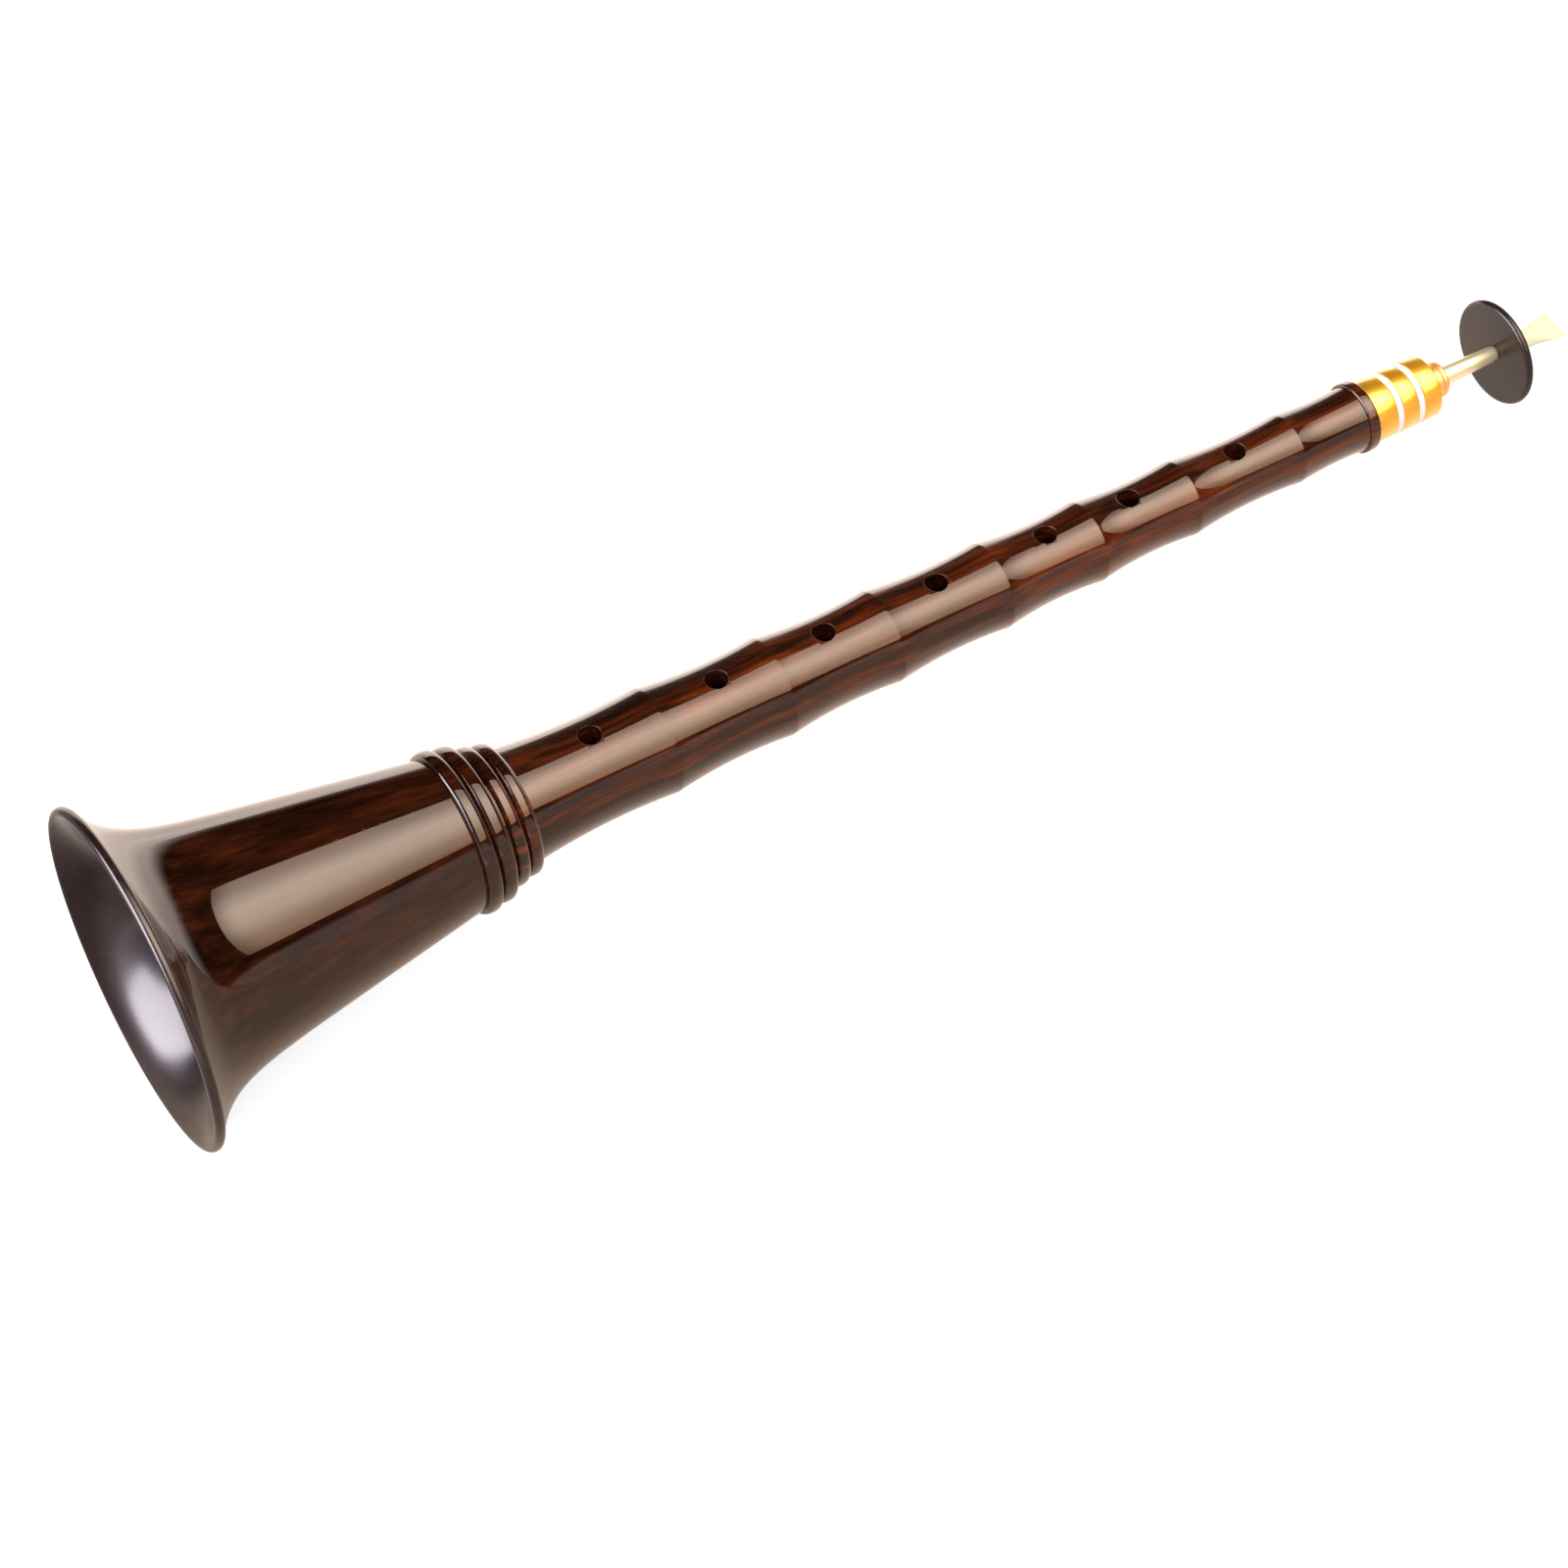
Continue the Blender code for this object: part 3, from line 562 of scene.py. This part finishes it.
# Core: body with a groove for the seal, two ears, a stem and a beaded head
core = {
    "from": 0.3909, "bodyRadius": 0.0056, "groove": (0.3929, 0.3945), "grooveRadius": 0.0045, "shoulder": 0.4194,
    "stemRadius": 0.0051, "head": (0.4306, 0.4325), "headRadius": 0.0055, "headRound": 0.0006,
    "bore": 0.0034, "seat": 0.4082, "footBore": 0.0026, "ear": (0.4130, 0.4170), "earWidth": 0.0030,
    "earRoot": 0.0050, "earTip": 0.0072, "earEdge": 0.0002,
}


def makeCore(values):
    start, body, stem = values["from"], values["bodyRadius"], values["stemRadius"]
    (low, high), (headLow, headHigh) = values["groove"], values["head"]
    outline = [(start, body), (low, body), (low, values["grooveRadius"]), (high, values["grooveRadius"]), (high, body),
               (values["shoulder"], body), (values["shoulder"], stem), (headLow, stem)]
    outline += roundedRing(headLow, headHigh, values["headRadius"], values["headRound"], 5)
    outline += [(headHigh, values["bore"]), (values["seat"], values["bore"]), (values["seat"], values["footBore"]),
                (start, values["footBore"])]
    piece = turned("core_turned", outline, 128)
    first, last = values["ear"]
    root, tip = values["earRoot"], values["earTip"]
    for side in (-1, 1):
        ear = block((values["earWidth"], tip - root, last - first), (0, side * (root + tip) / 2, (first + last) / 2),
                    values["earEdge"])
        applyBoolean(piece, ear, "UNION")
    return layDown(piece)


dress(makeCore(core), neckGold, "core", "core_ferrule")

# Seal: a rubber ring of round section in the core's groove
seal = {"at": 0.3937, "radius": 0.0053, "section": 0.0005}


def makeSeal(values):
    turns = [math.tau * step / 16 for step in range(16)]
    outline = [(values["at"] - values["section"] * math.cos(turn), values["radius"] + values["section"] * math.sin(turn))
               for turn in turns]
    return layDown(turned("seal_turned", outline, 96, 60))


dress(makeSeal(seal), rubber, "core", "core_o_ring")

# Staple: a thin brass tube, straight in the core and tapered outside it
staple = {"from": 0.4085, "taperFrom": 0.4325, "to": 0.4635, "radius": 0.0031, "tipRadius": 0.0020, "wall": 0.0006}


def makeStaple(values):
    start, taper, tip = values["from"], values["taperFrom"], values["to"]
    outline = [(start, values["radius"]), (taper, values["radius"]), (tip - 0.0002, values["tipRadius"]),
               (tip, values["tipRadius"] - 0.0002), (tip, values["tipRadius"] - values["wall"]),
               (taper, values["radius"] - values["wall"]), (start, values["radius"] - values["wall"])]
    return layDown(turned("staple_turned", outline, 96))


dress(makeStaple(staple), paleBrass, "core", "staple_tube")

# Lip disc, with a full round edge
disc = {"from": 0.4529, "to": 0.4555, "radius": 0.01675, "edge": 0.00125, "hole": 0.002676, "holeEdge": 0.0002}


def makeDisc(values):
    low, high, hole, ease = values["from"], values["to"], values["hole"], values["holeEdge"]
    outline = roundedRing(low, high, values["radius"], values["edge"], 8)
    outline += [(high, hole + ease), (high - ease, hole), (low + ease, hole), (low, hole + ease)]
    return layDown(turned("disc_turned", outline, 192))


dress(makeDisc(disc), horn, "disc", "disc")

# Reed: a round foot that eases into a flat fan with a thin slit
reed = {
    "at": 0.4565, "length": 0.0206, "footRadius": 0.002998, "tipHalfWidth": 0.0056, "tipHalfThickness": 0.00054,
    "roundShare": 0.42, "wall": 0.00045, "tipWall": 0.0003, "sections": 24, "sides": 64,
}


def makeReed(values):
    # one ring of edges, extruded up the outside, over the tip and down the inside
    bpy.ops.object.select_all(action="DESELECT")
    bpy.ops.mesh.primitive_circle_add(vertices=values["sides"], radius=values["footRadius"])
    piece = bpy.context.object
    piece.name = "reed_shaped"
    rings = []
    for inside in (False, True):
        for step in range(values["sections"] + 1):
            share = (values["sections"] - step if inside else step) / values["sections"]
            flat = max(0.0, (share - values["roundShare"]) / (1 - values["roundShare"]))
            ease = flat * flat * (3 - 2 * flat)
            wall = (values["wall"] + (values["tipWall"] - values["wall"]) * flat) * inside
            foot = values["footRadius"]
            rings.append((share * values["length"],
                          foot + (values["tipHalfThickness"] - foot) * ease - wall,
                          foot + (values["tipHalfWidth"] - foot) * ease - wall))
    bpy.ops.object.mode_set(mode="EDIT")
    bpy.ops.mesh.select_all(action="SELECT")
    for here, there in zip(rings, rings[1:] + rings[:1]):
        bpy.ops.mesh.extrude_region_move(TRANSFORM_OT_translate={"value": (0, 0, there[0] - here[0])})
        bpy.ops.transform.resize(value=(there[1] / here[1], there[2] / here[2], 1))
    bpy.ops.mesh.select_all(action="SELECT")
    bpy.ops.mesh.remove_doubles(threshold=0.000002)
    bpy.ops.mesh.normals_make_consistent(inside=False)
    bpy.ops.transform.translate(value=(0, 0, values["at"]))
    bpy.ops.object.mode_set(mode="OBJECT")
    bpy.ops.object.shade_smooth_by_angle(angle=math.radians(40))
    return layDown(piece)


dress(makeReed(reed), cane, "reed", "reed")

# The binding wire is the frame's own
wire = frame["nodes"]["reed_wire"]
wire.data.materials.clear()
wire.data.materials.append(copper)
print("core, staple, disc and reed made")

# Camera: a long lens above the bell side, fitted to the bell's rim and the lip disc
camera = {
    "focalPixels": 3902, "imagePixels": 1600, "sensorMm": 36, "rimStation": 0.0012,
    "rimFromCamera": (-0.17065, 0.0517, 1.0047), "boreFromCamera": (0.85193, -0.40252, 0.33495),
    "frontOfBore": (0.302843, -0.143089, -0.942238), "sideOfBore": (0.4272, 0.904157, 0.0),
    "holesTurnedDegrees": -35,
}


def makeCamera(values):
    # rim, bore and holes as the lens sees them: x right, y down, z away from it
    turn = math.radians(values["holesTurnedDegrees"])
    seenBore = Vector(values["boreFromCamera"]).normalized()
    seenUp = math.cos(turn) * Vector(values["frontOfBore"]) + math.sin(turn) * Vector(values["sideOfBore"])
    seenUp = (seenUp - seenBore * seenUp.dot(seenBore)).normalized()
    seen = Matrix((seenBore, seenUp.cross(seenBore), seenUp)).transposed()
    real = Matrix((boreDirection, boreSide, boreUp)).transposed()
    toWorld = real @ seen.transposed()
    rim = boreStart + boreDirection * values["rimStation"]
    place = rim - toWorld @ Vector(values["rimFromCamera"])
    data = bpy.data.cameras.new("camera")
    data.sensor_width = values["sensorMm"]
    data.lens = values["focalPixels"] / values["imagePixels"] * values["sensorMm"]
    data.clip_start, data.clip_end = 0.05, 30
    made = bpy.data.objects.new("camera", data)
    scene.collection.objects.link(made)
    flip = Matrix(((1, 0, 0), (0, -1, 0), (0, 0, -1)))
    made.matrix_world = Matrix.Translation(place) @ (toWorld @ flip).to_4x4()
    scene.camera = made
    return toWorld


cameraTurn = makeCamera(camera)

# Lights. The lacquer mirrors a big softbox as one long strip, and the mouth of the bell a
# cooler panel. Both only shine: a plain lamp and the even sky light the colours.
# Directions are angles round the bore, from the camera's side over the top (negative) or
# under it, and along the bore towards the reed.
lamps = {
    "softbox": {"around": (-48.5, 25.5), "facing": -11, "along": (-16, 44.5), "distance": 6, "seenFrom": 0.022,
                "radiance": 11, "dimFrom": 0.8, "dimTo": 0.5,
                "stops": [(0.0, "#AA9588"), (0.168, "#BDA999"), (0.398, "#FEE3CD"), (0.568, "#F6DABF"),
                          (0.787, "#BFA48A"), (1.0, "#A0806A")]},
    "panel": {"around": -72, "along": -66, "distance": 2.5, "sizes": (2.6, 2.2), "turned": -20,
              "radiance": 15.5, "colour": "#FBF4FF"},
    "key": {"around": -20, "along": 0, "distance": 2.0, "size": 1.6, "radiance": 2.4, "colour": "#FFFFFF"},
}
# What gloss sees: white sweeps in front, at the back and past the bell, each from a plane's
# soft edge on, with a black ceiling between them. Facings are (front, lower, bore). The floor
# mirrors warmer and darker than it looks, and shines behind the object and past the bell.
studio = {
    "skyLight": 0.75, "sweepColour": "#FFF3EB",
    "frontSweep": {"facing": (0, 1, 0), "edge": (0.46, 0.52), "radiance": 0.85},
    "backSweep": {"facing": (-0.659, 0.391, 0.643), "edge": (0.19, 0.44), "radiance": 3.1},
    "backEnds": {"facing": (1, 0, 0), "edge": (0.35, 0.05), "radiance": 1.0},
    "mouthSweep": {"facing": (0, 0, -1), "edge": (0.55, 1.05), "radiance": 2.4},
    "floorColour": "#E6E6E8", "floorGlow": 0.68,
    # darkCorner is painted shade: a dark patch just past the bell's mouth that only gloss sees, mirrored as the dark
    # lower wall inside the bell
    "mirroredColour": [(-0.36, "#A498A0"), (-0.26, "#E3C8B0")], "darkCorner": "#1C1412",
    "mouthColour": "#EADFF2",
    "cornerLength": [(-0.33, 0.0), (-0.29, 1.0), (-0.26, 1.0), (-0.24, 0.0)], "cornerDepth": [(0.0, 0.0), (0.03, 1.0)],
    "shineByDepth": [(-0.07, 0.0), (0.0, 0.85), (0.03, 0.9), (0.12, 2.3)],
    "shineByLength": [(-0.30, 0.0), (-0.24, 0.35), (-0.15, 0.45), (-0.02, 1.0)],
    "pastBell": (-0.28, -0.70), "pastBellShine": 2.4,
}
front = cameraTurn @ Vector(camera["frontOfBore"]).normalized()
lower = cameraTurn @ Vector(camera["sideOfBore"]).normalized()


def towards(around, along=0.0):
    around, along = math.radians(around), math.radians(along)
    return (math.cos(along) * (math.cos(around) * front + math.sin(around) * lower)
            + math.sin(along) * boreDirection)


def areaLamp(name, place, across, along, sizes, values):
    # the lamp's radiance times its area and pi is its power in watts
    data = bpy.data.lights.new(name, "AREA")
    data.shape = "RECTANGLE"
    data.size, data.size_y = sizes
    data.energy = values["radiance"] * math.pi * sizes[0] * sizes[1]
    data.use_nodes = True
    data.node_tree.nodes.clear()
    if "stops" in values:
        spot = addNode(data, "ShaderNodeNewGeometry")
        ends = addNode(data, "ShaderNodeSeparateXYZ", {"Vector": (spot, "Parametric")})
        fade = addNode(data, "ShaderNodeValToRGB", {"Fac": (ends, "X")},
                       stops=[(place, toLinear(code)) for place, code in values["stops"]])
        dim = addNode(data, "ShaderNodeMapRange", {
            "Value": (ends, "Y"), "From Min": values["dimFrom"], "To Min": 1.0, "To Max": values["dimTo"]},
            interpolation_type="SMOOTHSTEP")
        glow = addNode(data, "ShaderNodeEmission", {"Color": (fade, "Color"), "Strength": (dim, "Result")})
    else:
        glow = addNode(data, "ShaderNodeEmission", {"Color": toLinear(values["colour"])})
    addNode(data, "ShaderNodeOutputLight", {"Surface": (glow, "Emission")})
    lamp = bpy.data.objects.new(name, data)
    lamp.visible_camera = False
    scene.collection.objects.link(lamp)
    back = across.cross(along).normalized()
    lamp.matrix_world = Matrix.Translation(place) @ Matrix((across, along, back)).transposed().to_4x4()
    return lamp


def makeLamps(values):
    box = values["softbox"]
    out = towards(box["facing"])
    across = boreDirection.cross(out).normalized()
    if across.dot(lower) < 0:
        across = -across
    along = out.cross(across).normalized()
    left, right = [box["distance"] * math.tan(math.radians(angle - box["facing"])) for angle in box["around"]]
    near, far = [box["distance"] * math.tan(math.radians(angle)) for angle in box["along"]]
    centre = (boreStart + boreDirection * (box["seenFrom"] + (near + far) / 2) + across * (left + right) / 2
              + out * box["distance"])
    lamp = areaLamp("softbox shine", centre, across, along, (right - left, far - near), box)
    lamp.visible_diffuse = False
    panel = values["panel"]
    out = towards(panel["around"], panel["along"])
    across = Matrix.Rotation(math.radians(panel["turned"]), 3, out) @ lower.cross(out).normalized()
    lamp = areaLamp("panel shine", boreStart + out * panel["distance"], across, out.cross(across).normalized(),
                    panel["sizes"], panel)
    lamp.visible_diffuse = False
    key = values["key"]
    out = towards(key["around"], key["along"])
    across = boreDirection.cross(out).normalized()
    place = boreStart + boreDirection * 0.22 + out * key["distance"]
    lamp = areaLamp("key light", place, across, out.cross(across).normalized(), (key["size"], key["size"]), key)
    lamp.visible_glossy = False


def makeWorld(values):
    # white to the camera, an even sky to the colours, and the sweeps to gloss
    world = bpy.data.worlds.new("studio")
    scene.world = world
    world.use_nodes = True
    world.node_tree.nodes.clear()
    world.cycles.sampling_method = "NONE"
    place = addNode(world, "ShaderNodeTexCoord")
    glows = {}
    for name in ("frontSweep", "backSweep", "backEnds", "mouthSweep"):
        sweep = values[name]
        parts = [axis * amount for axis, amount in zip((front, lower, boreDirection), sweep["facing"])]
        share = addNode(world, "ShaderNodeVectorMath", {
            0: (place, "Generated"), 1: parts[0] + parts[1] + parts[2]}, operation="DOT_PRODUCT")
        glows[name] = addNode(world, "ShaderNodeMapRange", {
            "Value": (share, "Value"), "From Min": sweep["edge"][0], "From Max": sweep["edge"][1],
            "To Max": sweep["radiance"]}, interpolation_type="SMOOTHSTEP")
    back = addNode(world, "ShaderNodeMath", {
        0: (glows["backSweep"], "Result"), 1: (glows["backEnds"], "Result")}, operation="MULTIPLY")
    sides = addNode(world, "ShaderNodeMath", {
        0: (glows["frontSweep"], "Result"), 1: (glows["mouthSweep"], "Result")}, operation="MAXIMUM")
    shine = addNode(world, "ShaderNodeMath", {0: (sides, "Value"), 1: (back, "Value")}, operation="MAXIMUM")
    ray = addNode(world, "ShaderNodeLightPath")
    light = addNode(world, "ShaderNodeMix", {
        "Factor": (ray, "Is Glossy Ray"), "A": values["skyLight"], "B": (shine, "Value")})
    strength = addNode(world, "ShaderNodeMix", {"Factor": (ray, "Is Camera Ray"), "A": (light, "Result"), "B": 1.0})
    tint = addNode(world, "ShaderNodeMix", {
        "Factor": (glows["mouthSweep"], "Result"), "A": toLinear(values["sweepColour"]),
        "B": toLinear(values["mouthColour"])}, data_type="RGBA")
    colour = addNode(world, "ShaderNodeMix", {
        "Factor": (ray, "Is Glossy Ray"), "A": (1, 1, 1, 1), "B": (tint, "Result")}, data_type="RGBA")
    glow = addNode(world, "ShaderNodeBackground", {"Color": (colour, "Result"), "Strength": (strength, "Result")})
    addNode(world, "ShaderNodeOutputWorld", {"Surface": (glow, "Background")})


def makeFloor(values):
    # pale cloth that keeps the shadow, near white to the camera
    material = newMaterial("white sweep")
    material.cycles.emission_sampling = "NONE"
    ray = addNode(material, "ShaderNodeLightPath")
    place = addNode(material, "ShaderNodeTexCoord")
    apart = addNode(material, "ShaderNodeSeparateXYZ", {"Vector": (place, "Object")})
    glows = []
    for axis, name in (("Y", "shineByDepth"), ("X", "shineByLength"), ("X", "cornerLength"), ("Y", "cornerDepth")):
        spots = values[name]
        low, high, most = spots[0][0], spots[-1][0], max(level for spot, level in spots)
        reach = addNode(material, "ShaderNodeMapRange", {"Value": (apart, axis), "From Min": low, "From Max": high})
        glows.append(addNode(material, "ShaderNodeValToRGB", {"Fac": (reach, "Result")}, stops=[
            ((spot - low) / (high - low), (level / most,) * 3 + (1,)) for spot, level in spots]))
    (low, cool), (high, warm) = values["mirroredColour"]
    reach = addNode(material, "ShaderNodeMapRange", {"Value": (apart, "X"), "From Min": low, "From Max": high})
    mirrored = addNode(material, "ShaderNodeMix", {
        "Factor": (reach, "Result"), "A": toLinear(cool), "B": toLinear(warm)}, data_type="RGBA")
    # painted shade: the dark corner past the bell's mouth, mixed in for gloss only
    corner = addNode(material, "ShaderNodeMath", {0: (glows[2], "Color"), 1: (glows[3], "Color")}, operation="MULTIPLY")
    shaded = addNode(material, "ShaderNodeMix", {
        "Factor": (corner, "Value"), "A": (mirrored, "Result"), "B": toLinear(values["darkCorner"])}, data_type="RGBA")
    tint = addNode(material, "ShaderNodeMix", {
        "Factor": (ray, "Is Glossy Ray"), "A": toLinear(values["floorColour"]), "B": (shaded, "Result")},
        data_type="RGBA")
    cloth = addNode(material, "ShaderNodeBsdfDiffuse", {"Color": (tint, "Result")})
    past = addNode(material, "ShaderNodeMapRange", {
        "Value": (apart, "X"), "From Min": values["pastBell"][0], "From Max": values["pastBell"][1],
        "To Max": values["pastBellShine"]})
    inFront = addNode(material, "ShaderNodeMapRange", {"Value": (apart, "Y"), "From Min": 0.06, "From Max": -0.02})
    ahead = addNode(material, "ShaderNodeMath", {0: (past, "Result"), 1: (inFront, "Result")}, operation="MULTIPLY")
    behind = addNode(material, "ShaderNodeMath", {
        0: (glows[0], "Color"), 1: values["shineByDepth"][-1][1]}, operation="MULTIPLY")
    shine = addNode(material, "ShaderNodeMath", {
        0: (behind, "Value"), 1: (glows[1], "Color"), 2: (ahead, "Value")}, operation="MULTIPLY_ADD")
    level = addNode(material, "ShaderNodeMix", {
        "Factor": (ray, "Is Glossy Ray"), "A": values["floorGlow"], "B": (shine, "Value")})
    seen = addNode(material, "ShaderNodeMath", {
        0: (ray, "Is Camera Ray"), 1: (ray, "Is Glossy Ray")}, operation="MAXIMUM")
    glow = addNode(material, "ShaderNodeMath", {0: (level, "Result"), 1: (seen, "Value")}, operation="MULTIPLY")
    colour = addNode(material, "ShaderNodeMix", {
        "Factor": (ray, "Is Glossy Ray"), "A": (1, 1, 1, 1), "B": toLinear(values["sweepColour"])}, data_type="RGBA")
    white = addNode(material, "ShaderNodeEmission", {"Color": (colour, "Result"), "Strength": (glow, "Value")})
    both = addNode(material, "ShaderNodeAddShader", {0: (cloth, "BSDF"), 1: (white, "Emission")})
    addNode(material, "ShaderNodeOutputMaterial", {"Surface": (both, "Shader")})
    bpy.ops.mesh.primitive_plane_add(size=8)
    floor = bpy.context.object
    floor.name = "floor"
    floor.data.materials.append(material)


makeLamps(lamps)
makeWorld(studio)
makeFloor(studio)
scene.view_settings.view_transform = "Standard"
print("camera, lights and floor set")
